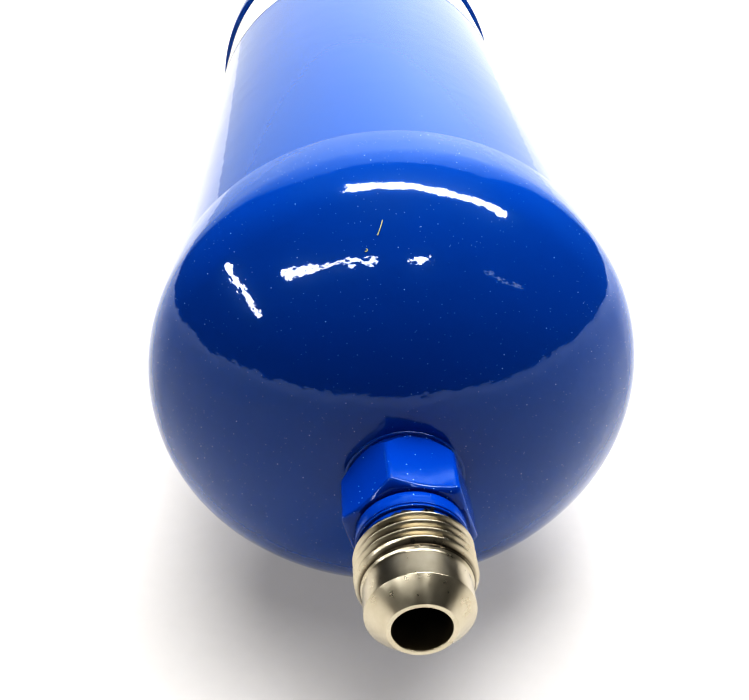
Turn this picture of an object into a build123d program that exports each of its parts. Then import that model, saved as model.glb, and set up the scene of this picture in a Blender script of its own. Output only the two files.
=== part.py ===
"""Liquid-line filter drier with two SAE 45 degree flare ends.

A steel tube is closed by two drawn, torispherical end caps that lap over it.
A hexagon flare fitting is welded to each dome.  Inside, a conical spring
presses a moulded desiccant core on to a filter pad, a mesh screen and a
perforated plate, which stands in the knuckle of the outlet cap.

Frame: millimetres, the axis of the drier is Y, the inlet is at -Y, +Z is up.
The origin is on the axis, half way between the two ends.
"""

from build123d import *
from math import asin, atan2, cos, pi, sin, sqrt
import os

# ---------------------------------------------------------------- dimensions
# Body
shell_diameter = 76.1        # outside of the tube
shell_wall = 1.5
rim_to_rim = 149.0           # tube left in view between the rims of the caps
lap_length = 6.0             # how far the tube reaches into each cap
lap_gap = 0.05               # radial play of the cap on the tube

# End caps, measured on the outside
cap_wall = 1.2
skirt_length = 7.5           # straight wall, from the rim to the knuckle
knuckle_radius = 15.5
dome_height = 26.9           # from the end of the skirt to the apex
land_margin = 0.5            # flat land round the shoulder of the fitting
rim_round = 0.35
lap_weld_leg = 0.7

# Flare fitting, 3/8 SAE: 5/8-18 UNF thread for 3/8 inch tube
thread_diameter = 15.875
thread_length = 6.4
thread_chamfer = 1.3
groove_diameter = 14.1
groove_length = 0.8
neck_diameter = 15.0
neck_length = 2.9
hex_across_flats = 16.3
hex_length = 10.8
hex_turn = 47.5              # angle of one corner of the inlet hexagon from +X
hex_front_slope = 0.577      # 30 degree chamfer at the nose end
hex_back_slope = 1.73        # 60 degree taper towards the dome
pilot_diameter = 13.8
pilot_length = 3.9
nose_diameter = 8.9          # flat ring at the end of the 45 degree seat
bore_diameter = 7.4
shoulder_height = 0.25
spigot_diameter = 12.0
spigot_reach = 1.5           # how far the spigot stands inside the dome
spigot_gap = 0.05
fitting_weld_leg = 0.5

# Inner pack, from the inlet to the outlet
spring_wire = 3.0
spring_turns = 3.5
spring_height = 32.0
spring_small_diameter = 27.0     # outside of the coil at the dome
spring_large_diameter = 46.0     # outside of the coil at the seat plate
spring_play = 0.1
seat_plate_diameter = 58.0
seat_plate_thickness = 1.2
seat_rim_height = 4.0
seat_hole_diameter = 5.0
seat_hole_count = 6
felt_thickness = 2.0
core_inlet_diameter = 62.0
core_root_diameter = 66.0        # beside the collar
core_collar_length = 12.0
core_bore_diameter = 18.0
core_closed_end = 35.0           # solid length left at the inlet end
core_edge_round = 2.0
seal_thickness = 1.3
seal_play = 0.05
pad_thickness = 6.0
screen_thickness = 0.6
plate_thickness = 1.0
pack_play = 0.25                 # radial play of pad, screen and plate in the tube
plate_seat_gap = 0.05            # between the edge of the plate and the knuckle
plate_hole_diameter = 4.5
plate_ring_pitch = 7.0
plate_hole_margin = 3.0

# ------------------------------------------------------------- derived sizes
shell_outer = shell_diameter / 2
shell_inner = shell_outer - shell_wall
cap_inner = shell_outer + lap_gap
cap_outer = cap_inner + cap_wall
rim_plane = rim_to_rim / 2

# Torispherical dome: the crown is a sphere tangent to the knuckle.
knuckle_centre = cap_outer - knuckle_radius
crown_radius = (dome_height**2 + knuckle_centre**2 - knuckle_radius**2) / (
    2 * (dome_height - knuckle_radius)
)
crown_centre = skirt_length + dome_height - crown_radius
knuckle_angle = atan2(skirt_length - crown_centre, knuckle_centre)

hex_inner = hex_across_flats / 2
hex_outer = hex_inner / cos(pi / 6)
land_radius = hex_inner + land_margin
land_plane = crown_centre + sqrt(crown_radius**2 - land_radius**2)

hex_plane = land_plane + hex_length
thread_plane = hex_plane + neck_length + groove_length
pilot_plane = thread_plane + thread_length
cone_plane = pilot_plane + pilot_length
nose_plane = cone_plane + (pilot_diameter - nose_diameter) / 2


def end_y(side, station):
    """Y of a station, counted outwards from the rim of the cap at that end."""
    return side * (rim_plane + station)


def on_arc(side, centre, radius, angle):
    """Point (radial, Y) on an arc whose centre is given as (radial, station)."""
    return (
        centre[0] + radius * cos(angle),
        end_y(side, centre[1] + radius * sin(angle)),
    )


def inner_knuckle_station(radius):
    """Station at which the inside of the knuckle has this radius."""
    inner_radius = knuckle_radius - cap_wall
    return skirt_length + sqrt(inner_radius**2 - (radius - knuckle_centre) ** 2)


def inner_crown_station(radius):
    """Station of the inside of the crown at this radius."""
    return crown_centre + sqrt((crown_radius - cap_wall) ** 2 - radius**2)


def ring_section(side, inner, outer, start, end):
    """Section of a turned ring between two radii and two stations of one end."""
    with BuildSketch(Plane.XY) as section:
        with BuildLine():
            Polyline(
                (inner, end_y(side, start)),
                (outer, end_y(side, start)),
                (outer, end_y(side, end)),
                (inner, end_y(side, end)),
                close=True,
            )
        make_face()
    return section.sketch


# Stations of the inner pack, all counted from the outlet rim.
plate_radius = shell_inner - pack_play
plate_outer_face = inner_knuckle_station(plate_radius + plate_seat_gap)
plate_inner_face = plate_outer_face - plate_thickness
screen_inner_face = plate_inner_face - screen_thickness
pad_inner_face = screen_inner_face - pad_thickness
core_outlet_y = end_y(1, pad_inner_face)

# The spring stands on the inside of the inlet crown and on the seat plate.
spring_top = inner_crown_station(spring_small_diameter / 2) - spring_play
spring_top_y = end_y(-1, spring_top)
seat_face_y = spring_top_y + spring_height
felt_inlet_y = seat_face_y + seat_plate_thickness
core_inlet_y = felt_inlet_y + felt_thickness
core_length = core_outlet_y - core_inlet_y
collar_radius = shell_inner - seal_play - seal_thickness


# --------------------------------------------------------------------- body
def make_shell_tube():
    tube_end = rim_plane + lap_length
    with BuildPart() as shell:
        with BuildSketch(Plane.XZ.offset(-tube_end)):
            Circle(shell_outer)
            Circle(shell_inner, mode=Mode.SUBTRACT)
        extrude(amount=2 * tube_end)
    return shell


def make_end_cap(side):
    """Drawn cap: skirt, knuckle, crown and a coined land with the fitting hole."""
    hole = spigot_diameter / 2 + spigot_gap
    knuckle = (knuckle_centre, skirt_length)
    crown = (0, crown_centre)
    land_angle = pi / 2 - asin(land_radius / crown_radius)
    inner_crown = crown_radius - cap_wall
    inner_land = land_plane - cap_wall
    inner_land_angle = asin((inner_land - crown_centre) / inner_crown)
    inner_knuckle = knuckle_radius - cap_wall

    with BuildPart() as cap:
        with BuildSketch(Plane.XY):
            with BuildLine():
                Line((cap_inner, end_y(side, 0)), (cap_outer, end_y(side, 0)))
                Line((cap_outer, end_y(side, 0)), (cap_outer, end_y(side, skirt_length)))
                for centre, radius, start, stop in (
                    (knuckle, knuckle_radius, 0, knuckle_angle),
                    (crown, crown_radius, knuckle_angle, land_angle),
                    (crown, inner_crown, inner_land_angle, knuckle_angle),
                    (knuckle, inner_knuckle, knuckle_angle, 0),
                ):
                    ThreePointArc(
                        on_arc(side, centre, radius, start),
                        on_arc(side, centre, radius, (start + stop) / 2),
                        on_arc(side, centre, radius, stop),
                    )
                Polyline(
                    on_arc(side, crown, crown_radius, land_angle),
                    (hole, end_y(side, land_plane)),
                    (hole, end_y(side, inner_land)),
                    on_arc(side, crown, inner_crown, inner_land_angle),
                )
                Line((cap_inner, end_y(side, skirt_length)), (cap_inner, end_y(side, 0)))
            make_face()
        revolve(axis=Axis.Y)
        rim_y = end_y(side, 0)
        circles = cap.edges().filter_by(GeomType.CIRCLE)
        rim = circles.filter_by_position(Axis.Y, rim_y - rim_round, rim_y + rim_round)
        fillet(rim.sort_by(SortBy.RADIUS)[-1], rim_round)
    return cap


def make_lap_weld(side):
    """Fillet weld in the corner between the rim of the cap and the tube."""
    with BuildPart() as weld:
        with BuildSketch(Plane.XY):
            with BuildLine():
                Polyline(
                    (shell_outer, end_y(side, -lap_weld_leg)),
                    (shell_outer, end_y(side, 0)),
                    (shell_outer + lap_weld_leg, end_y(side, 0)),
                )
                ThreePointArc(
                    (shell_outer + lap_weld_leg, end_y(side, 0)),
                    (
                        shell_outer + lap_weld_leg * 0.6,
                        end_y(side, -lap_weld_leg * 0.6),
                    ),
                    (shell_outer, end_y(side, -lap_weld_leg)),
                )
            make_face()
        revolve(axis=Axis.Y)
    return weld


# ----------------------------------------------------------------- fittings
def make_flare_fitting(side):
    """Bar-turned fitting: spigot, tapered hexagon, neck, thread, pilot, seat."""
    thread_radius = thread_diameter / 2
    pilot_radius = pilot_diameter / 2
    neck_radius = neck_diameter / 2
    groove_radius = groove_diameter / 2
    nose_radius = nose_diameter / 2
    taper_start = land_plane + shoulder_height
    taper_end = taper_start + (hex_outer - hex_inner) * hex_back_slope
    chamfer_start = hex_plane - (hex_outer - hex_inner) * hex_front_slope
    inner_end = land_plane - cap_wall - spigot_reach
    hex_base = Plane(
        origin=(0, end_y(side, land_plane), 0), x_dir=(1, 0, 0), z_dir=(0, side, 0)
    )

    with BuildPart() as fitting:
        with BuildSketch(hex_base):
            RegularPolygon(hex_inner, 6, major_radius=False, rotation=hex_turn)
        extrude(amount=hex_length)
        with BuildSketch(Plane.XY):
            with BuildLine():
                Polyline(
                    (0, end_y(side, land_plane)),
                    (hex_inner, end_y(side, land_plane)),
                    (hex_inner, end_y(side, taper_start)),
                    (hex_outer, end_y(side, taper_end)),
                    (hex_outer, end_y(side, chamfer_start)),
                    (hex_inner, end_y(side, hex_plane)),
                    (0, end_y(side, hex_plane)),
                    close=True,
                )
            make_face()
        revolve(axis=Axis.Y, mode=Mode.INTERSECT)

        with BuildSketch(Plane.XY):
            with BuildLine():
                Polyline(
                    (0, end_y(side, hex_plane)),
                    (neck_radius, end_y(side, hex_plane)),
                    (neck_radius, end_y(side, hex_plane + neck_length)),
                    (groove_radius, end_y(side, hex_plane + neck_length)),
                    (groove_radius, end_y(side, thread_plane)),
                    (thread_radius, end_y(side, thread_plane)),
                    (thread_radius, end_y(side, pilot_plane - thread_chamfer)),
                    (pilot_radius, end_y(side, pilot_plane)),
                    (pilot_radius, end_y(side, cone_plane)),
                    (nose_radius, end_y(side, nose_plane)),
                    (0, end_y(side, nose_plane)),
                    close=True,
                )
            make_face()
        revolve(axis=Axis.Y)
        spigot = ring_section(side, 0, spigot_diameter / 2, inner_end, land_plane)
        revolve(spigot, axis=Axis.Y)
        with BuildSketch(
            Plane(
                origin=(0, end_y(side, nose_plane), 0),
                x_dir=(1, 0, 0),
                z_dir=(0, -side, 0),
            )
        ):
            Circle(bore_diameter / 2)
        extrude(amount=nose_plane - inner_end, mode=Mode.SUBTRACT)
    return fitting


def make_fitting_weld(side):
    """Low fillet weld on the land of the dome, as high as the shoulder."""
    with BuildPart() as weld:
        with BuildSketch(Plane.XY):
            with BuildLine():
                Polyline(
                    (hex_inner, end_y(side, land_plane)),
                    (hex_inner + fitting_weld_leg, end_y(side, land_plane)),
                    (hex_inner, end_y(side, land_plane + shoulder_height)),
                    close=True,
                )
            make_face()
        revolve(axis=Axis.Y)
    return weld


# --------------------------------------------------------------- inner pack
def make_core_spring():
    """Conical compression spring, small coil at the dome."""
    wire = spring_wire / 2
    small = spring_small_diameter / 2 - wire
    large = spring_large_diameter / 2 - wire
    rise = spring_height - spring_wire - spring_play
    cone = atan2(small - large, rise) * 180 / pi
    foot_y = seat_face_y - wire - spring_play
    with BuildPart() as spring:
        with BuildLine():
            coil = Helix(
                pitch=rise / spring_turns,
                height=rise,
                radius=large,
                center=(0, foot_y, 0),
                direction=(0, -1, 0),
                cone_angle=cone,
            )
        with BuildSketch(Plane(origin=coil @ 0, z_dir=coil % 0)):
            Circle(wire)
        sweep(path=coil, is_frenet=True)
    return spring


def make_spring_seat_plate():
    """Pressed plate with an upturned rim that keeps the large coil in place."""
    radius = seat_plate_diameter / 2
    plate_inlet_y = seat_face_y
    hole_circle = spring_large_diameter / 2 - spring_wire - seat_hole_diameter
    with BuildPart() as plate:
        with BuildSketch(Plane.XY):
            with BuildLine():
                Polyline(
                    (0, felt_inlet_y),
                    (radius, felt_inlet_y),
                    (radius, plate_inlet_y - seat_rim_height),
                    (radius - seat_plate_thickness, plate_inlet_y - seat_rim_height),
                    (radius - seat_plate_thickness, plate_inlet_y),
                    (0, plate_inlet_y),
                    close=True,
                )
            make_face()
        revolve(axis=Axis.Y)
        with BuildSketch(Plane.XZ.offset(-felt_inlet_y)):
            Circle(seat_hole_diameter / 2)
            with PolarLocations(hole_circle, seat_hole_count):
                Circle(seat_hole_diameter / 2)
        extrude(amount=seat_plate_thickness, mode=Mode.SUBTRACT)
    return plate


def make_inlet_felt_pad():
    with BuildPart() as felt:
        with BuildSketch(Plane.XZ.offset(-core_inlet_y)):
            Circle(seat_plate_diameter / 2)
        extrude(amount=felt_thickness)
    return felt


def make_desiccant_core():
    """Moulded core: tapered body, collar at the outlet, blind centre bore."""
    inlet_radius = core_inlet_diameter / 2
    root_radius = core_root_diameter / 2
    bore_radius = core_bore_diameter / 2
    collar_y = core_outlet_y - core_collar_length
    bore_y = core_inlet_y + core_closed_end
    with BuildPart() as core:
        with BuildSketch(Plane.XY):
            with BuildLine():
                Polyline(
                    (0, core_inlet_y),
                    (inlet_radius, core_inlet_y),
                    (root_radius, collar_y),
                    (collar_radius, collar_y),
                    (collar_radius, core_outlet_y),
                    (bore_radius, core_outlet_y),
                    (bore_radius, bore_y),
                    (0, bore_y),
                    close=True,
                )
            make_face()
        revolve(axis=Axis.Y)
        circles = core.edges().filter_by(GeomType.CIRCLE).sort_by(Axis.Y)
        fillet(circles[0], core_edge_round)
    return core


def make_core_seal_ring():
    """Felt band that seals the collar of the core in the tube."""
    collar_start = pad_inner_face - core_collar_length
    outer = collar_radius + seal_thickness
    with BuildPart() as seal:
        revolve(
            ring_section(1, collar_radius, outer, collar_start, pad_inner_face),
            axis=Axis.Y,
        )
    return seal


def make_filter_pad():
    with BuildPart() as pad:
        revolve(
            ring_section(1, 0, plate_radius, pad_inner_face, screen_inner_face),
            axis=Axis.Y,
        )
    return pad


def make_mesh_screen():
    with BuildPart() as screen:
        revolve(
            ring_section(1, 0, plate_radius, screen_inner_face, plate_inner_face),
            axis=Axis.Y,
        )
    return screen


def make_perforated_plate():
    """Outlet plate, drilled in rings of 6, 12, 18 ... holes round a centre hole."""
    last_ring = plate_radius - plate_hole_margin - plate_hole_diameter / 2
    with BuildPart() as plate:
        revolve(
            ring_section(1, 0, plate_radius, plate_inner_face, plate_outer_face),
            axis=Axis.Y,
        )
        with BuildSketch(Plane.XZ.offset(-end_y(1, plate_outer_face))):
            Circle(plate_hole_diameter / 2)
            for count in range(1, int(last_ring / plate_ring_pitch) + 1):
                with PolarLocations(count * plate_ring_pitch, 6 * count):
                    Circle(plate_hole_diameter / 2)
        extrude(amount=plate_thickness, mode=Mode.SUBTRACT)
    return plate


# ------------------------------------------------------------------- export
os.makedirs("parts", exist_ok=True)

pieces = {
    "shell_tube": make_shell_tube(),
    "core_spring": make_core_spring(),
    "spring_seat_plate": make_spring_seat_plate(),
    "inlet_felt_pad": make_inlet_felt_pad(),
    "desiccant_core": make_desiccant_core(),
    "core_seal_ring": make_core_seal_ring(),
    "filter_pad": make_filter_pad(),
    "mesh_screen": make_mesh_screen(),
    "perforated_plate": make_perforated_plate(),
}
for name, side in (("inlet", -1), ("outlet", 1)):
    pieces[name + "_end_cap"] = make_end_cap(side)
    pieces[name + "_lap_weld"] = make_lap_weld(side)
    pieces[name + "_flare_fitting"] = make_flare_fitting(side)
    pieces[name + "_fitting_weld"] = make_fitting_weld(side)

for name, piece in pieces.items():
    piece.part.label = name
    export_step(piece.part, "parts/" + name + ".step")
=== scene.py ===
"""Looks of a liquid-line filter drier: blue enamel, nickel-plated flare ends, inner pack.

Everything is in metres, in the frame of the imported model: the axis is Y, the
inlet is at -Y, +Z is up.  A station is counted outwards from the rim of a cap.
"""

from math import asin, atan2, cos, hypot, pi, radians, sin, sqrt, tan

import bmesh
import bpy
from mathutils import Matrix, Vector


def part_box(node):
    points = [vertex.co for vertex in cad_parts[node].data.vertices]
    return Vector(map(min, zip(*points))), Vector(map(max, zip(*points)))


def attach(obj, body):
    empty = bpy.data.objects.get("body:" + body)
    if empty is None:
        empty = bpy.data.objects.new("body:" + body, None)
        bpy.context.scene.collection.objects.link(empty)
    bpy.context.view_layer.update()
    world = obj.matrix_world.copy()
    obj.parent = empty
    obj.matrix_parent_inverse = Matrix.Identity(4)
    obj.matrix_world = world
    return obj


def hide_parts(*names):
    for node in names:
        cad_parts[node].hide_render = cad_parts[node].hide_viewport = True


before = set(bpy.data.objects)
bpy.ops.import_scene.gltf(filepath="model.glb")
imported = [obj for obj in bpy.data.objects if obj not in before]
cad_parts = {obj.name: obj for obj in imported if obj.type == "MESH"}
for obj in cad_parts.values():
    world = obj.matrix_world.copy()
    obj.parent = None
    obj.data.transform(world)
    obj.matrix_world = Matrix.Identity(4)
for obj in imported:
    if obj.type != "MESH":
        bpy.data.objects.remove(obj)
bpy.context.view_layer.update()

mm = 0.001

# ------------------------------------------------------ sizes from the frame
tube_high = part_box("shell_tube")[1]
cap_low, cap_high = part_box("outlet_end_cap")
fitting_low, fitting_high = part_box("outlet_flare_fitting")
lap_weld_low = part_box("outlet_lap_weld")[0]
fitting_weld_low, fitting_weld_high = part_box("outlet_fitting_weld")

shell_outer = tube_high.x
shell_half_length = tube_high.y
cap_outer = cap_high.x
rim_plane = cap_low.y
land_station = cap_high.y - rim_plane
nose_station = fitting_high.y - rim_plane
spigot_end_station = fitting_low.y - rim_plane
lap_weld_leg = rim_plane - lap_weld_low.y
fitting_weld_leg = fitting_weld_high.y - fitting_weld_low.y
floor_height = -cap_outer

# ---------------------------------------------------- sizes the frame leaves
shell_wall = 1.5 * mm
lap_gap = 0.05 * mm
cap_wall = 1.2 * mm
skirt_length = 7.5 * mm
knuckle_radius = 15.5 * mm
dome_height = 26.9 * mm
land_margin = 0.5 * mm
rim_round = 0.35 * mm
edge_break = 0.15 * mm

hex_inner = 8.15 * mm
hex_length = 10.8 * mm
hex_corner_from_top = radians(42.5)
hex_corner_round = 0.8 * mm
hex_front_slope = tan(radians(30))
hex_back_slope = tan(radians(60))
# rows over each rounded edge of the hexagon: how far inside the edge, and how deep
hex_edge_round = ((0.5 * mm, 0), (0.42 * mm, 0), (0.2 * mm, 0.03 * mm), (0, 0.16 * mm))
hex_rows = 2 * len(hex_edge_round)
hex_row_gap = 1 * mm
hex_lip = 0.25 * mm
undercut_radius = 7.15 * mm
undercut_length = 0.22 * mm
neck_radius = 7.5 * mm
neck_length = 2.9 * mm
lip_length = 0.55 * mm
lip_groove = 0.18 * mm
groove_radius = 7.05 * mm
groove_length = 0.8 * mm
thread_radius = 7.9375 * mm
thread_pitch = 25.4 / 18 * mm
thread_depth = 0.6134 * thread_pitch
thread_crest_flat = thread_pitch / 8
thread_rounding = thread_pitch / 12
thread_length = 6.4 * mm
thread_chamfer = 1.3 * mm
thread_row = 0.06 * mm
thread_lead_slope = 1.5
thread_first_crest = 48.94 * mm
pilot_radius = 6.9 * mm
pilot_row = 0.4 * mm
nose_radius = 4.45 * mm
bore_radius = 3.7 * mm
bore_row = 6 * mm
spigot_radius = 6.0 * mm
spigot_gap = 0.05 * mm
fitting_weld_leg_out = fitting_weld_high.x - hex_inner
weld_root = 0.1 * mm
weld_crescent = 0.4
weld_section_steps = 6
weld_ripple_steps = 6
lap_weld_ripples = 150
lap_weld_ripple_depth = 0.22
fitting_weld_ripples = 28
fitting_weld_ripple_depth = 0.12
label_thickness = 0.08 * mm
label_sink = 0.02 * mm
label_width = 31 * mm
label_outlet_gap = 2.5 * mm
tube_row = 20 * mm

knuckle_centre = cap_outer - knuckle_radius
crown_radius = (dome_height**2 + knuckle_centre**2 - knuckle_radius**2) / (
    2 * (dome_height - knuckle_radius)
)
crown_centre = skirt_length + dome_height - crown_radius
knuckle_angle = atan2(skirt_length - crown_centre, knuckle_centre)
# the back taper starts where the weld ends
taper_start = land_station + fitting_weld_leg
hex_station = land_station + hex_length
groove_station = hex_station + neck_length
thread_station = groove_station + groove_length
pilot_station = thread_station + thread_length
cone_station = nose_station - (pilot_radius - nose_radius)

# steps of a full turn, the gap under which points merge, and how near a row is found
turned_steps = 256
fitting_steps = 288
merge_gap = 0.001 * mm
row_reach = 0.01 * mm


# ---------------------------------------------------------- shaping by bmesh
def arc(centre, radius, start, stop, count):
    """Points (radius, station) on an arc; its angle is counted from straight out."""
    angles = [start + (stop - start) * i / count for i in range(count + 1)]
    return [(centre[0] + radius * cos(a), centre[1] + radius * sin(a)) for a in angles]


def turned_ring(profile, steps):
    """A closed profile of (radius, station) of the inlet end, spun about the axis."""
    bm = bmesh.new()
    verts = [bm.verts.new((0, -rim_plane - station, radius)) for radius, station in profile]
    edges = [bm.edges.new((verts[i - 1], verts[i])) for i in range(len(verts))]
    bmesh.ops.spin(
        bm, geom=verts + edges, cent=(0, 0, 0), axis=(0, 1, 0), dvec=(0, 0, 0),
        angle=2 * pi, steps=steps, use_merge=True, use_duplicate=False,
    )
    bmesh.ops.remove_doubles(bm, verts=bm.verts, dist=merge_gap)
    bmesh.ops.recalc_face_normals(bm, faces=bm.faces)
    return bm


def turn_to_outlet(bm):
    """Half a turn about +Z makes the outlet piece; its thread stays right-hand."""
    bmesh.ops.rotate(bm, cent=(0, 0, 0), matrix=Matrix.Rotation(pi, 3, "Z"), verts=bm.verts)


def around_axis(vert):
    """Radius, station and angle from the top towards +X of a vertex of the inlet end."""
    radius = hypot(vert.co.x, vert.co.z)
    return radius, -vert.co.y - rim_plane, atan2(vert.co.x, vert.co.z)


def move_to(vert, radius, station):
    """Moves a vertex of the inlet end, at the angle that it has."""
    scale = radius / hypot(vert.co.x, vert.co.z)
    vert.co = (vert.co.x * scale, -rim_plane - station, vert.co.z * scale)


def show(bm, name, material, slot, *replaced, sharp=35):
    """Makes the finished mesh a piece that rides on the drier and stands for CAD nodes."""
    mesh = bpy.data.meshes.new(name)
    bm.to_mesh(mesh)
    bm.free()
    mesh.shade_smooth()
    mesh.set_sharp_from_angle(angle=radians(sharp))
    mesh.materials.append(material)
    piece = bpy.data.objects.new(name, mesh)
    bpy.context.scene.collection.objects.link(piece)
    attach(piece, "root")
    if replaced:
        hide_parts(*replaced)


# ----------------------------------------------------------------- materials
NOISE = "ShaderNodeTexNoise"
CELLS = "ShaderNodeTexVoronoi"
MATH = "ShaderNodeMath"
VECTOR_MATH = "ShaderNodeVectorMath"
RANGE = "ShaderNodeMapRange"
MIX = "ShaderNodeMix"
SPLIT = "ShaderNodeSeparateXYZ"
JOIN = "ShaderNodeCombineXYZ"

# a Mix node has a set of sockets for each kind of data: these are the ones for colours
FIRST, SECOND = 6, 7
IN_COLOUR = {"data_type": "RGBA", "give": 2}


def linear(hex_colour):
    """Linear RGBA of an sRGB hex colour such as #1A2B3C."""
    parts = [int(hex_colour[i : i + 2], 16) / 255 for i in (1, 3, 5)]
    return [p / 12.92 if p <= 0.04045 else ((p + 0.055) / 1.055) ** 2.4 for p in parts] + [1]


def add(owner, kind, inputs=(), give=0, **settings):
    """Adds a node with its settings; inputs are values, or outputs of others to link.

    They are in a dictionary, or in a list from the first socket on.  It gives
    back the output with this name or number, or all of them if give is None.
    """
    tree = owner.node_tree
    made = tree.nodes.new(kind)
    for key, value in settings.items():
        setattr(made, key, value)
    named = inputs if isinstance(inputs, dict) else dict(enumerate(inputs))
    for key, value in named.items():
        if isinstance(value, bpy.types.NodeSocket):
            tree.links.new(value, made.inputs[key])
        else:
            made.inputs[key].default_value = value
    return made.outputs if give is None else made.outputs[give]


def new_material(name):
    """An empty material and its Object coordinates."""
    material = bpy.data.materials.new(name)
    material.use_nodes = True
    material.node_tree.nodes.clear()
    return material, add(material, "ShaderNodeTexCoord", give="Object")


def finish(material, surface):
    """Closes the material with one shader; what is the same all over is set on its sockets."""
    shader = add(material, "ShaderNodeBsdfPrincipled", surface)
    add(material, "ShaderNodeOutputMaterial", {"Surface": shader}, give=None)
    return material


def stack_bumps(material, *layers):
    """Lays one bump on another; a layer is a height map and its full height in metres."""
    below = {}
    for height, distance in layers:
        values = {"Strength": 1, "Distance": distance, "Height": height, **below}
        below = {"Normal": add(material, "ShaderNodeBump", values)}
    return below["Normal"]


def dust_mask(material, place, cell, radius, share):
    """1 on small round specks: one in some of the cells, 0 between them."""
    specks = add(material, CELLS, {"Vector": place, "Scale": 1 / cell}, give=None)
    edge = radius / cell
    near = add(material, RANGE, [specks["Distance"], edge, edge * 0.6, 0, 1])
    picked = add(material, MATH, [specks["Color"], share], operation="LESS_THAN")
    return add(material, MATH, [near, picked], operation="MULTIPLY")


def make_blue_enamel(name, waves, peel, grit, dust_share):
    """Stoved blue enamel: a wet gloss over the waves of the steel, as high as is said.

    The eye gets sharp reflections whose edges wander with the waves, an orange
    peel inside them, a thin soft haze round the brightest, and pale dust that
    settled on the dry paint.
    """
    material, place = new_material(name)
    tone = add(material, NOISE, {"Vector": place, "Scale": 1 / (40 * mm), "Detail": 2})
    body = add(
        material, MIX, {0: tone, FIRST: linear("#014A96"), SECOND: linear("#01509E")}, **IN_COLOUR
    )
    coarse = dust_mask(material, place, 1.2 * mm, 0.09 * mm, dust_share)
    fine = dust_mask(material, place, 0.5 * mm, 0.05 * mm, dust_share)
    dust = add(material, MATH, [coarse, fine], operation="MAXIMUM")
    colour = add(material, MIX, {0: dust, FIRST: body, SECOND: linear("#A9C4E4")}, **IN_COLOUR)
    waving = {"Vector": place, "Scale": 1 / (7 * mm), "Detail": 1, "Roughness": 0.4}
    relief = stack_bumps(
        material,
        (add(material, NOISE, waving), waves),
        (add(material, NOISE, {"Vector": place, "Scale": 1 / (2.6 * mm), "Detail": 1}), peel),
        (add(material, NOISE, {"Vector": place, "Scale": 1 / (0.9 * mm), "Detail": 1}), grit),
        (dust, 0.03 * mm),
    )
    return finish(material, {
        "Base Color": colour,
        "Roughness": add(material, RANGE, [dust, 0, 1, 0.035, 0.6]),
        "IOR": 1.52,
        "Coat Weight": 0.15,
        "Coat Roughness": 0.22,
        "Normal": relief,
    })


def make_fitting_finish():
    """Turned steel, nickel-plated, then painted blue down to the first thread.

    The eye gets warm champagne metal with turning marks that run round, painted
    shade darkening the thread grooves, a thick gloss coat on the hexagon and a
    ragged edge where the spray ended.
    """
    material, place = new_material("nickel_plate_painted_hexagon")

    # distance from the axis and along it, so that turning marks run round
    x, y, z = add(material, SPLIT, [place], give=None)
    radial = add(
        material, VECTOR_MATH, [add(material, JOIN, [x, z])], give="Value", operation="LENGTH"
    )
    along = add(material, MATH, [y], operation="ABSOLUTE")
    turned = add(material, JOIN, [radial, along])

    # paint mask: 1 behind the ragged edge, 0 on the bare plating
    ragged = add(
        material, NOISE,
        {"Vector": place, "Scale": 1 / (1.3 * mm), "Detail": 4, "Roughness": 0.65},
    )
    wander = add(material, RANGE, [ragged, 0.3, 0.7, -0.55 * mm, 0.55 * mm])
    edge = add(material, MATH, [along, wander], operation="ADD")
    paint_end = rim_plane + groove_station + 0.45 * mm
    paint = add(material, RANGE, [edge, paint_end + 0.03 * mm, paint_end - 0.03 * mm, 0, 1])

    # plating: turning marks, warm clouds, and painted shade in the thread grooves alone
    marks = add(
        material, NOISE,
        {"Vector": turned, "Scale": 1 / (0.16 * mm), "Detail": 3, "Roughness": 0.6},
    )
    clouds = add(
        material, NOISE, {"Vector": place, "Scale": 1 / (2.4 * mm), "Detail": 3, "Roughness": 0.6}
    )
    bright = add(
        material, MIX, {0: clouds, FIRST: linear("#B9B09A"), SECOND: linear("#DCD6C6")}, **IN_COLOUR
    )
    # painted shade: the thread grooves darken towards their roots, as if in shadow
    root_radius = thread_radius - thread_depth
    in_groove = add(
        material, RANGE, [radial, root_radius + 0.5 * mm, root_radius + 0.1 * mm, 0, 0.85]
    )
    groove_shade_end = rim_plane + pilot_station - 0.3 * mm
    on_thread = add(material, MATH, [along, groove_shade_end], operation="LESS_THAN")
    painted_groove_shade = add(material, MATH, [in_groove, on_thread], operation="MULTIPLY")
    plating = add(material, MIX, {0: painted_groove_shade, FIRST: bright, SECOND: linear("#453B2C")}, **IN_COLOUR)

    # paint: droplets and pale dust
    dust = dust_mask(material, place, 1.0 * mm, 0.1 * mm, 0.6)
    blue = add(
        material, MIX, {0: dust, FIRST: linear("#01489A"), SECOND: linear("#A9C4E4")}, **IN_COLOUR
    )
    droplets = add(material, NOISE, {"Vector": place, "Scale": 1 / (0.9 * mm), "Detail": 1})

    bare_rough = add(material, RANGE, [clouds, 0.3, 0.7, 0.26, 0.36])
    relief = stack_bumps(
        material,
        (marks, 0.003 * mm),
        (paint, 0.06 * mm),
        (add(material, MATH, [droplets, paint], operation="MULTIPLY"), 0.012 * mm),
        (add(material, MATH, [dust, paint], operation="MULTIPLY"), 0.03 * mm),
    )
    return finish(material, {
        "Base Color": add(material, MIX, {0: paint, FIRST: plating, SECOND: blue}, **IN_COLOUR),
        "Metallic": add(material, RANGE, [paint, 0, 1, 1, 0]),
        "Roughness": add(material, MIX, {0: paint, 2: bare_rough, 3: 0.13}, data_type="FLOAT"),
        "Normal": relief,
    })


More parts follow.
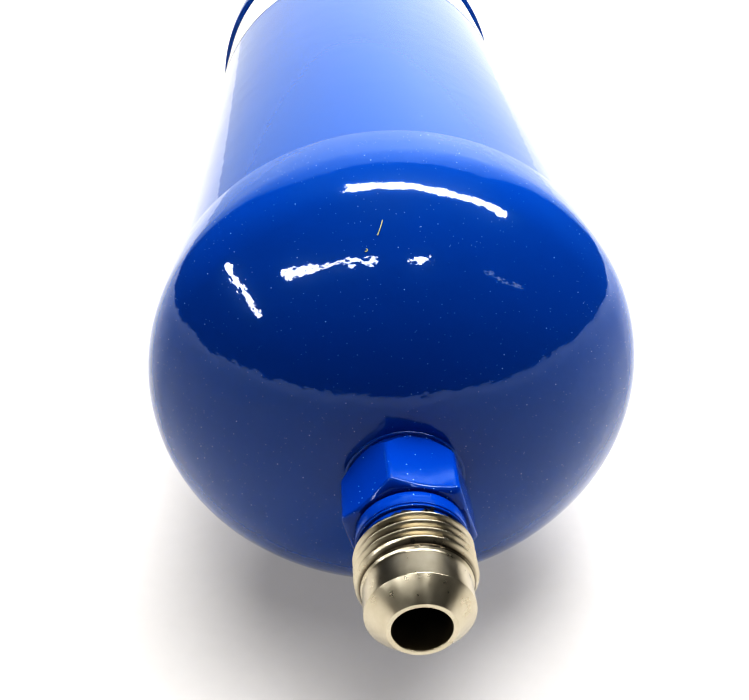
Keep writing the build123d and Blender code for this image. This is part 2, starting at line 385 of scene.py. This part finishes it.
def make_label_film():
    """Blank cream label film: a satin skin that shows the tube's waves a little."""
    material, place = new_material("cream_label_film")
    tone = add(material, NOISE, {"Vector": place, "Scale": 1 / (9 * mm), "Detail": 3})
    waves = add(material, NOISE, {"Vector": place, "Scale": 1 / (6 * mm), "Detail": 1})
    grain = add(material, NOISE, {"Vector": place, "Scale": 1 / (0.3 * mm), "Detail": 3})
    cream = add(
        material, MIX, {0: tone, FIRST: linear("#E9E6D8"), SECOND: linear("#F1EFE3")}, **IN_COLOUR
    )
    return finish(material, {
        "Base Color": cream,
        "Roughness": add(material, RANGE, [tone, 0.3, 0.7, 0.32, 0.42]),
        "IOR": 1.46,
        "Normal": stack_bumps(material, (waves, 0.03 * mm), (grain, 0.002 * mm)),
    })


def make_lint():
    """Yellowish lint: a dry fibre, paler and darker along its length."""
    material, place = new_material("yellow_lint")
    tone = add(material, NOISE, {"Vector": place, "Scale": 1 / (0.6 * mm), "Detail": 2})
    fibre = add(
        material, MIX, {0: tone, FIRST: linear("#BDB95E"), SECOND: linear("#E9E5A8")}, **IN_COLOUR
    )
    return finish(material, {
        "Base Color": fibre,
        "Roughness": 0.9,
        "Normal": stack_bumps(material, (tone, 0.02 * mm)),
    })


def make_spring_wire():
    """Oiled spring steel: dark drawn wire with fine die lines and brown temper clouds."""
    material, place = new_material("drawn_spring_wire")
    clouds = add(material, NOISE, {"Vector": place, "Scale": 1 / (5 * mm), "Detail": 3})
    drawn = add(material, VECTOR_MATH, [place, (1, 6, 1)], operation="MULTIPLY")
    lines = add(
        material, NOISE,
        {"Vector": drawn, "Scale": 1 / (0.35 * mm), "Detail": 3, "Roughness": 0.6},
    )
    steel = add(
        material, MIX, {0: clouds, FIRST: linear("#5E5A55"), SECOND: linear("#8A8C90")}, **IN_COLOUR
    )
    return finish(material, {
        "Base Color": add(
            material, MIX, {0: lines, FIRST: steel, SECOND: linear("#A3A5A8")}, **IN_COLOUR
        ),
        "Metallic": 1,
        "Roughness": add(material, RANGE, [clouds, 0.3, 0.7, 0.24, 0.42]),
        "Normal": stack_bumps(material, (lines, 0.006 * mm)),
    })


def make_zinc_sheet():
    """Zinc-plated sheet: pale bluish metal, yellowish passivate clouds and rolling marks."""
    material, place = new_material("zinc_plated_sheet")
    clouds = add(
        material, NOISE, {"Vector": place, "Scale": 1 / (8 * mm), "Detail": 4, "Roughness": 0.6}
    )
    along_roll = add(material, VECTOR_MATH, [place, (0.06, 1, 1)], operation="MULTIPLY")
    rolled = add(material, NOISE, {"Vector": along_roll, "Scale": 1 / (0.25 * mm), "Detail": 3})
    grains = add(material, CELLS, {"Vector": place, "Scale": 1 / (0.9 * mm)})
    zinc = add(
        material, MIX, {0: clouds, FIRST: linear("#B9BDC2"), SECOND: linear("#CFC8AE")}, **IN_COLOUR
    )
    return finish(material, {
        "Base Color": add(
            material, MIX, {0: grains, FIRST: zinc, SECOND: linear("#DADCDD")}, **IN_COLOUR
        ),
        "Metallic": 1,
        "Roughness": add(material, RANGE, [rolled, 0.3, 0.7, 0.26, 0.4]),
        "Normal": stack_bumps(material, (rolled, 0.004 * mm), (grains, 0.003 * mm)),
    })


def make_pressed_felt():
    """Pressed wool felt: matt, mottled cream, with short fibres that lie every way."""
    material, place = new_material("pressed_felt")
    runs = []
    for along_fibre in ((0.25, 1, 1), (1, 1, 0.25)):
        laid = add(material, VECTOR_MATH, [place, along_fibre], operation="MULTIPLY")
        runs.append(
            add(material, NOISE, {"Vector": laid, "Scale": 1 / (0.22 * mm), "Detail": 4})
        )
    fibres = add(material, MATH, runs, operation="MAXIMUM")
    tufts = add(material, NOISE, {"Vector": place, "Scale": 1 / (3 * mm), "Detail": 3})
    wool = add(
        material, MIX, {0: tufts, FIRST: linear("#CFC8B6"), SECOND: linear("#E4DFD0")}, **IN_COLOUR
    )
    return finish(material, {
        "Base Color": add(
            material, MIX, {0: fibres, FIRST: linear("#B7AE98"), SECOND: wool}, **IN_COLOUR
        ),
        "Roughness": 1,
        "Sheen Weight": 0.35,
        "Specular IOR Level": 0.2,
        "Normal": stack_bumps(material, (tufts, 0.12 * mm), (fibres, 0.09 * mm)),
    })


def make_needled_polyester():
    """Needled polyester pad: white open fibres, with painted shade in the small pits the needles
    left.
    """
    material, place = new_material("needled_polyester")
    fibres = add(
        material, NOISE,
        {"Vector": place, "Scale": 1 / (0.3 * mm), "Detail": 5, "Roughness": 0.7},
    )
    pits = add(material, CELLS, {"Vector": place, "Scale": 1 / (2.2 * mm)})
    pit_height = add(material, RANGE, [pits, 0, 0.35, 0, 1])
    # painted shade: the needle pits are coloured darker grey than the fibres round them
    pit_shaded_tone = add(
        material, MIX, {0: pit_height, FIRST: linear("#B9BABA"), SECOND: linear("#F0F0EE")},
        **IN_COLOUR,
    )
    return finish(material, {
        "Base Color": add(
            material, MIX, {0: fibres, FIRST: linear("#CBCBC8"), SECOND: pit_shaded_tone}, **IN_COLOUR
        ),
        "Roughness": 0.85,
        "Sheen Weight": 0.5,
        "Specular IOR Level": 0.3,
        "Normal": stack_bumps(material, (pit_height, 0.3 * mm), (fibres, 0.12 * mm)),
    })


def make_moulded_sieve():
    """Moulded molecular sieve and alumina: bonded beige beads with painted shade in the pores
    between.
    """
    material, place = new_material("moulded_molecular_sieve")
    bead = add(material, CELLS, {"Vector": place, "Scale": 1 / (0.85 * mm)}, give=None)
    shape = add(material, RANGE, [bead["Distance"], 0, 0.75, 1, 0])
    batch = add(material, NOISE, {"Vector": place, "Scale": 1 / (14 * mm), "Detail": 3})
    body = add(
        material, MIX, {0: batch, FIRST: linear("#C9BDA6"), SECOND: linear("#DCD3C0")}, **IN_COLOUR
    )
    darker = add(material, RANGE, [bead["Color"], 0, 1, 0, 0.35])
    mottled = add(material, MIX, {0: darker, FIRST: body, SECOND: linear("#A99A80")}, **IN_COLOUR)
    # painted shade: the pores between the beads are coloured dark brown
    out_of_pore = add(material, RANGE, [shape, 0, 0.4, 0, 1])
    grit = add(material, NOISE, {"Vector": place, "Scale": 1 / (0.12 * mm), "Detail": 3})
    return finish(material, {
        "Base Color": add(
            material, MIX, {0: out_of_pore, FIRST: linear("#7D705A"), SECOND: mottled}, **IN_COLOUR
        ),
        "Roughness": 0.95,
        "Specular IOR Level": 0.25,
        "Normal": stack_bumps(material, (shape, 0.25 * mm), (grit, 0.03 * mm)),
    })


def make_woven_wire():
    """Woven steel screen: bright wires that cross, and painted shade in the square gaps between
    them.
    """
    wire_pitch = 0.5 * mm
    material, place = new_material("woven_wire_screen")
    apart = add(material, SPLIT, [place], give=None)
    wires = []
    for run, cross in (("X", "Z"), ("Z", "X")):
        run_turn = add(material, MATH, [apart[run], pi / wire_pitch], operation="MULTIPLY")
        cross_turn = add(material, MATH, [apart[cross], 2 * pi / wire_pitch], operation="MULTIPLY")
        over = add(material, MATH, [run_turn], operation="COSINE")
        rounded = add(material, MATH, [cross_turn], operation="COSINE")
        lift = add(material, MATH, [over, 0.3], operation="MULTIPLY")
        wires.append(add(material, MATH, [rounded, lift], operation="ADD"))
    height = add(material, MATH, wires, operation="MAXIMUM")
    bright = add(material, RANGE, [height, -0.3, 0.2, 0, 1])
    tarnish = add(material, NOISE, {"Vector": place, "Scale": 1 / (4 * mm), "Detail": 3})
    wire = add(
        material, MIX, {0: tarnish, FIRST: linear("#9A9A97"), SECOND: linear("#C2C1BC")},
        **IN_COLOUR,
    )
    full_height = add(material, RANGE, [height, -1, 1.3, 0, 1])
    # painted shade: the gaps between the wires are coloured near black
    return finish(material, {
        "Base Color": add(
            material, MIX, {0: bright, FIRST: linear("#15130F"), SECOND: wire}, **IN_COLOUR
        ),
        "Metallic": bright,
        "Roughness": add(material, RANGE, [bright, 0, 1, 0.9, 0.3]),
        "Normal": stack_bumps(material, (full_height, 0.15 * mm)),
    })


def make_laminate():
    """Matt laminate with painted light: a weak glow near the drier lifts its shadow, a strong one
    far off keeps it pale.
    """
    near, far = 0.4, 1.0
    material, place = new_material("pale_glowing_laminate")
    grain = add(material, NOISE, {"Vector": place, "Scale": 1 / (3 * mm), "Detail": 3})
    laminate_tone = add(
        material, MIX, {0: grain, FIRST: linear("#ADABA9"), SECOND: linear("#B1AFAD")}, **IN_COLOUR
    )
    distance = add(material, VECTOR_MATH, [place], give="Value", operation="LENGTH")
    return finish(material, {
        "Base Color": laminate_tone,
        "Roughness": 0.8,
        "Specular IOR Level": 0.2,
        # painted light: the board glows, weakly near the drier to lift its shadow and more far off
        "Emission Color": linear("#FFFAF4"),
        "Emission Strength": add(material, RANGE, [distance, near, far, 0.21, 0.85]),
    })


# -------------------------------------------------------------------- pieces
def make_shell_tube(material):
    """Rolled tube; its ends are hidden in the caps."""
    inner = shell_outer - shell_wall
    end = shell_half_length - rim_plane
    far = -2 * rim_plane - end
    profile = [
        (inner, far), (shell_outer, far), (shell_outer, far + tube_row),
        (shell_outer, -rim_plane), (shell_outer, end - tube_row),
        (shell_outer, end), (inner, end), (inner, -rim_plane),
    ]
    tube = turned_ring(profile, turned_steps)
    show(tube, "painted_shell_tube", material, "blue_paint", "shell_tube")


def cap_profile():
    """Closed section of a drawn cap, from the inside of the rim round to it again."""
    inner = shell_outer + lap_gap
    knuckle = (knuckle_centre, skirt_length)
    crown = (0, crown_centre)
    land_radius = hex_inner + land_margin
    land_angle = pi / 2 - asin(land_radius / crown_radius)
    inner_land = land_station - cap_wall
    inner_land_angle = asin((inner_land - crown_centre) / (crown_radius - cap_wall))
    hole = spigot_radius + spigot_gap
    round_centre = (cap_outer - rim_round, rim_round)
    points = [(inner, 0)]
    points += arc(round_centre, rim_round, -pi / 2, 0, 5)
    points += arc(knuckle, knuckle_radius, 0, knuckle_angle, 32)
    points += arc(crown, crown_radius, knuckle_angle, land_angle, 28)[1:]
    points += [(hole, land_station), (hole, inner_land)]
    points += arc(crown, crown_radius - cap_wall, inner_land_angle, knuckle_angle, 24)
    points += arc(knuckle, knuckle_radius - cap_wall, knuckle_angle, 0, 20)[1:]
    return points


def make_end_caps(material):
    for end in ("inlet", "outlet"):
        bm = turned_ring(cap_profile(), turned_steps)
        if end == "outlet":
            turn_to_outlet(bm)
        show(bm, end + "_painted_cap", material, "blue_paint", end + "_end_cap")


def hexagon_radius(angle):
    """Radius of the hexagon, its corners rounded, at an angle from the top towards +X."""
    off_corner = (angle - hex_corner_from_top + pi / 6) % (pi / 3) - pi / 6
    arc_centre = (hex_inner - hex_corner_round) / cos(pi / 6)
    flat = hex_inner / cos(pi / 6 - abs(off_corner))
    tangent = pi / 6 - atan2((hex_inner - hex_corner_round) * tan(pi / 6), hex_inner)
    if abs(off_corner) > tangent:
        return flat
    side = arc_centre * sin(off_corner)
    return arc_centre * cos(off_corner) + sqrt(hex_corner_round**2 - side**2)


def thread_drop(station, angle):
    """How far the surface lies under the crest of the right-hand thread."""
    turns = (station - thread_first_crest) / thread_pitch + angle / (2 * pi)
    off_crest = abs((turns + 0.5) % 1 - 0.5) * thread_pitch
    wedge = (off_crest - thread_crest_flat / 2) * sqrt(3)
    # the flank runs smoothly into the flat crest, and then into the root
    crest = (wedge + sqrt(wedge**2 + thread_rounding**2)) / 2
    root = thread_depth - crest
    return thread_depth - (root + sqrt(root**2 + thread_rounding**2)) / 2


def hex_row_stations():
    """Stations between the tapers, one for each row that is moved."""
    start = taper_start + hex_row_gap
    return [start + i * hex_row_gap for i in range(hex_rows)]


def hexagon_place(row, angle):
    """Radius and station on the hexagon of one of its rows, at an angle from the top."""
    flat = hexagon_radius(angle)
    if row < hex_rows / 2:
        inset, drop = hex_edge_round[hex_rows // 2 - 1 - row]
        return flat - drop, taper_start + (flat - hex_inner) * hex_back_slope + inset
    inset, drop = hex_edge_round[row - hex_rows // 2]
    front = hex_station - (flat - hex_inner + hex_lip) * hex_front_slope
    return flat - drop, front - inset


def thread_surface(station, angle):
    """Radius of the thread, with the run-in behind it and the chamfer before it."""
    run_in = groove_radius + (station - thread_station) * thread_lead_slope
    chamfer = pilot_radius + (pilot_station - station) * (
        (thread_radius - pilot_radius) / thread_chamfer
    )
    cut = thread_radius - thread_drop(station, angle)
    return max(min(cut, run_in, chamfer), pilot_radius)


def fitting_profile():
    """Closed section of the fitting, with the hexagon and thread still round."""
    hex_top = hexagon_radius(hex_corner_from_top)
    neck_start = hex_station + undercut_length
    lip_start = groove_station - lip_length
    neck_break = neck_radius - edge_break
    points = [
        (bore_radius, spigot_end_station), (spigot_radius, spigot_end_station),
        (spigot_radius, land_station), (hex_inner - edge_break, land_station),
        (hex_inner - edge_break, taper_start - edge_break),
        (hex_inner, taper_start),
    ]
    # rows that shape_fitting() moves on to the flats
    points += [(hex_top, row) for row in hex_row_stations()]
    points += [(hex_inner - hex_lip, hex_station), (undercut_radius, hex_station)]
    points += [(undercut_radius, neck_start)]
    points += arc((neck_break, neck_start + edge_break), edge_break, -pi / 2, 0, 3)
    points += arc((neck_break, lip_start - edge_break), edge_break, 0, pi / 2, 3)
    points += [(neck_radius - lip_groove, lip_start)]
    points += arc((neck_break, groove_station - edge_break), edge_break, 0, pi / 2, 3)
    points += [(groove_radius, groove_station)]
    points += [(groove_radius, groove_station + groove_length / 2)]
    # rows that shape_fitting() moves on to the thread
    rows = round(thread_length / thread_row)
    points += [
        (thread_radius, thread_station + (pilot_station - thread_station) * i / rows)
        for i in range(rows)
    ]
    points += [(pilot_radius, pilot_station), (pilot_radius, pilot_station + pilot_row)]
    points += arc((pilot_radius - edge_break, cone_station - edge_break), edge_break, 0, pi / 4, 3)
    nose_centre = (nose_radius - edge_break, nose_station - edge_break)
    points += arc(nose_centre, edge_break, pi / 4, pi / 2, 3)
    bore_centre = (bore_radius + edge_break, nose_station - edge_break)
    points += arc(bore_centre, edge_break, pi / 2, pi, 3)
    points += [(bore_radius, nose_station - bore_row)]
    return points


def shape_fitting(bm):
    """Moves the rows of the spun blank on to the hexagon and on to the thread."""
    rows = hex_row_stations()
    for vert in bm.verts:
        radius, station, angle = around_axis(vert)
        row = min(range(hex_rows), key=lambda i: abs(rows[i] - station))
        behind_pilot = thread_station - row_reach < station < pilot_station - row_reach
        if radius > hex_inner and abs(rows[row] - station) < row_reach:
            move_to(vert, *hexagon_place(row, angle))
        elif radius > pilot_radius and behind_pilot:
            move_to(vert, thread_surface(station, angle), station)


def make_flare_fittings(material):
    for end in ("inlet", "outlet"):
        bm = turned_ring(fitting_profile(), fitting_steps)
        shape_fitting(bm)
        if end == "outlet":
            turn_to_outlet(bm)
        show(
            bm, end + "_threaded_fitting", material, "nickel_plate",
            end + "_flare_fitting", sharp=40,
        )


def weld_bead(corner_radius, corner_station, legs, side, ripples, depth):
    """A weld bead spun round the axis in a corner, then rippled in crescents.

    side is -1 if the bead grows to smaller stations, 1 if it grows to larger ones.
    depth is how much of its size the bead loses at the low end of a ripple.
    """
    section = [(corner_radius - weld_root, corner_station - side * weld_root)]
    for step in range(weld_section_steps + 1):
        turn = pi / 2 * step / weld_section_steps
        section.append((
            corner_radius + legs[0] * sin(turn),
            corner_station + side * legs[1] * cos(turn),
        ))
    bm = turned_ring(section, ripples * weld_ripple_steps)
    for vert in bm.verts:
        radius, station, angle = around_axis(vert)
        if radius < corner_radius - weld_root / 2:
            continue
        out = radius - corner_radius
        up = station - corner_station
        crescent = weld_crescent * sin(2 * atan2(out / legs[0], side * up / legs[1]))
        ripple = (angle / (2 * pi) * ripples + crescent) % 1
        size = 1 - depth * ripple**2
        move_to(vert, corner_radius + out * size, corner_station + up * size)
    return bm


def make_welds(material):
    lap_legs = (lap_weld_leg, lap_weld_leg)
    base_legs = (fitting_weld_leg_out, fitting_weld_leg)
    for end in ("inlet", "outlet"):
        lap = weld_bead(
            shell_outer, 0, lap_legs, -1, lap_weld_ripples, lap_weld_ripple_depth
        )
        base = weld_bead(
            hex_inner, land_station, base_legs, 1, fitting_weld_ripples, fitting_weld_ripple_depth
        )
        for bm, place in ((lap, "_lap_weld"), (base, "_fitting_weld")):
            if end == "outlet":
                turn_to_outlet(bm)
            show(bm, end + place + "_bead", material, "blue_paint", end + place, sharp=60)


def make_label_band(material):
    """Blank label that goes all round the tube, near the outlet cap."""
    inside = shell_outer - label_sink
    outside = shell_outer + label_thickness
    start = -2 * rim_plane + label_outlet_gap
    profile = [
        (inside, start), (outside, start),
        (outside, start + label_width), (inside, start + label_width),
    ]
    band = turned_ring(profile, turned_steps)
    show(band, "blank_label_band", material, "polyester_pad", sharp=40)


def dome_point(degrees, station, lift):
    """A point above the dome of the inlet cap, at an angle from the top towards +X."""
    on_knuckle = station - skirt_length
    if on_knuckle < knuckle_radius * sin(knuckle_angle):
        radius = knuckle_centre + sqrt(knuckle_radius**2 - on_knuckle**2)
    else:
        radius = sqrt(crown_radius**2 - (station - crown_centre) ** 2)
    radius += lift
    angle = radians(degrees)
    return Vector((radius * sin(angle), -rim_plane - station, radius * cos(angle)))


def make_lint_fibres(material):
    """Two bits of lint that stick to the dome.

    Each route is a list of angles from the top, in degrees, and stations in mm.
    """
    for name, thickness, route in (
        ("lint_fibre", 0.07 * mm, ((-4.2, 19.6), (-4.4, 19.9), (-5.0, 20.5), (-5.7, 21.1))),
        ("lint_curl", 0.05 * mm, ((-8.9, 22.22), (-8.5, 22.3), (-8.7, 22.5), (-9.3, 22.44))),
    ):
        points = [
            dome_point(degrees, station * mm, thickness * 0.9) for degrees, station in route
        ]
        data = bpy.data.curves.new(name, "CURVE")
        data.dimensions = "3D"
        data.bevel_depth = thickness
        data.bevel_resolution = 2
        data.use_fill_caps = True
        spline = data.splines.new("NURBS")
        spline.points.add(len(points) - 1)
        for knot, point in zip(spline.points, points):
            knot.co = (*point, 1)
        spline.order_u = 3
        spline.use_endpoint_u = True
        data.materials.append(material)
        piece = bpy.data.objects.new(name, data)
        bpy.context.scene.collection.objects.link(piece)
        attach(piece, "root")


def finish_inner_pieces():
    """The sealed-in pieces keep their solids and get their own materials."""
    zinc = make_zinc_sheet()
    felt = make_pressed_felt()
    for node, material in (
        ("core_spring", make_spring_wire()),
        ("spring_seat_plate", zinc),
        ("perforated_plate", zinc),
        ("inlet_felt_pad", felt),
        ("core_seal_ring", felt),
        ("filter_pad", make_needled_polyester()),
        ("desiccant_core", make_moulded_sieve()),
        ("mesh_screen", make_woven_wire()),
    ):
        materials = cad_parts[node].data.materials
        materials.clear()
        materials.append(material)


# ----------------------------------------------------- floor, light and view
def make_floor():
    """Pale board under the drier; it ends at the bright wall behind."""
    half_side = 2
    back_edge = 0.42
    bm = bmesh.new()
    bmesh.ops.create_grid(bm, x_segments=1, y_segments=1, size=half_side)
    bmesh.ops.translate(bm, vec=(0, back_edge - half_side, floor_height), verts=bm.verts)
    mesh = bpy.data.meshes.new("studio_floor")
    bm.to_mesh(mesh)
    bm.free()
    mesh.materials.append(make_laminate())
    floor = bpy.data.objects.new("studio_floor", mesh)
    bpy.context.scene.collection.objects.link(floor)


def area_light(name, centre, length, width, power, turn=None):
    """A rectangular light: it faces straight down if it has a turn, else towards the drier."""
    data = bpy.data.lights.new(name, "AREA")
    data.shape = "RECTANGLE"
    data.size = length
    data.size_y = width
    data.energy = power
    lamp = bpy.data.objects.new(name, data)
    lamp.location = centre
    if turn is None:
        lamp.rotation_euler = Vector(centre).to_track_quat("Z", "Y").to_euler()
    else:
        lamp.rotation_euler = (0, 0, turn)
    bpy.context.scene.collection.objects.link(lamp)
    return lamp


def make_lights():
    """Three broad soft lights give the shading; narrow strips give the highlights."""
    for name, centre, length, width, power in (
        ("soft_behind", (0.03, 0.26, 0.8), 1.1, 0.42, 11),
        ("soft_above", (0.1, -0.09, 1.2), 0.9, 0.5, 7),
        ("soft_right", (0.87, 0.43, 0.3), 0.5, 0.5, 3.2),
    ):
        area_light(name, centre, length, width, power).visible_glossy = False
    # a strip hangs at a height over a point above the inlet dome; its place, length and
    # width are shares of that height, so that only its direction and size count
    over_y, over_z = -0.09, 0.03
    for name, height, x, y, length, width, turn, radiance in (
        ("strip_overhead", 1.2, 0.345, 0.02, 1.27, 0.16, radians(-10.7), 16),
        ("strip_front_left", 1.2, -0.435, -0.77, 0.63, 0.045, 0, 16),
        ("patch_front_left", 1.2, -0.95, -0.765, 0.4, 0.13, 0, 16),
        ("spot_front", 1.2, 0.255, -0.78, 0.15, 0.08, 0, 16),
        ("strip_left", 0.6, -2.4, -0.85, 1.35, 0.25, radians(74), 16),
        ("strip_right", 1.2, 1.45, -0.92, 1.0, 0.025, radians(-10), 3),
    ):
        centre = (x * height, over_y + y * height, over_z + height)
        length, width = length * height, width * height
        power = radiance * pi * length * width
        area_light(name, centre, length, width, power, turn).visible_diffuse = False


def make_world():
    """Dark room with one bright wall behind the drier; plain pale where it is seen."""
    world = bpy.data.worlds.new("studio")
    bpy.context.scene.world = world
    world.use_nodes = True
    world.node_tree.nodes.clear()
    direction = add(world, "ShaderNodeTexCoord", give="Generated")
    x, y, z = add(world, SPLIT, [direction], give=None)
    across = add(world, MATH, [x, y], operation="DIVIDE")
    up = add(world, MATH, [z, y], operation="DIVIDE")

    # the wall has a left, a right and a top edge, each soft between dark and bright
    mask = add(world, RANGE, [y, 0, 0.05, 0, 1])
    for value, dark, bright in (
        (across, -0.80, -0.72), (across, 0.92, 0.84), (up, 1.3, 1.15),
    ):
        inside = add(world, RANGE, [value, dark, bright, 0, 1])
        mask = add(world, MATH, [mask, inside], operation="MULTIPLY")

    # it is brightest right of its middle and falls off to both sides
    left_part = add(world, RANGE, [across, -0.7, 0.3, 0.38, 0.92])
    right_part = add(world, RANGE, [across, 0.2, 0.84, 1, 0.55])
    glow = add(world, MATH, [left_part, right_part], operation="MULTIPLY")
    wall = add(world, MATH, [mask, glow], operation="MULTIPLY")
    dim_room = 0.04
    room = add(world, MATH, [wall, dim_room], operation="ADD")
    seen = add(world, "ShaderNodeLightPath", give="Is Camera Ray")
    strength = add(world, MIX, {0: seen, 2: room, 3: 1.0}, data_type="FLOAT")
    laminate_tone = (1, 1, 1, 1)
    backdrop = add(world, "ShaderNodeBackground", {"Color": laminate_tone, "Strength": strength})
    add(world, "ShaderNodeOutputWorld", {"Surface": backdrop}, give=None)


def make_camera():
    """Looks down at the inlet end, from a little left of the axis."""
    tilt_down = 0.569
    turn_right = 0.051
    data = bpy.data.cameras.new("camera")
    data.sensor_width = 36
    data.lens = 46.93
    data.clip_start = 0.01
    camera = bpy.data.objects.new("camera", data)
    camera.location = (-9.69 * mm, -214.2 * mm, 89.94 * mm)
    camera.rotation_euler = (pi / 2 - tilt_down, 0, -turn_right)
    bpy.context.scene.collection.objects.link(camera)
    bpy.context.scene.camera = camera


# heights of waves, orange peel and grit, and the share of cells with a speck of dust
cap_enamel = make_blue_enamel(
    "blue_enamel_on_drawn_caps", 0.1 * mm, 0.035 * mm, 0.012 * mm, 0.4
)
tube_enamel = make_blue_enamel(
    "blue_enamel_on_rolled_tube", 0.03 * mm, 0.012 * mm, 0.002 * mm, 0.06
)
make_shell_tube(tube_enamel)
make_end_caps(cap_enamel)
make_flare_fittings(make_fitting_finish())
make_welds(cap_enamel)
make_label_band(make_label_film())
make_lint_fibres(make_lint())
finish_inner_pieces()

make_floor()
make_lights()
make_world()
make_camera()
bpy.context.scene.view_settings.view_transform = "Standard"
bpy.context.scene.view_settings.look = "Very High Contrast"
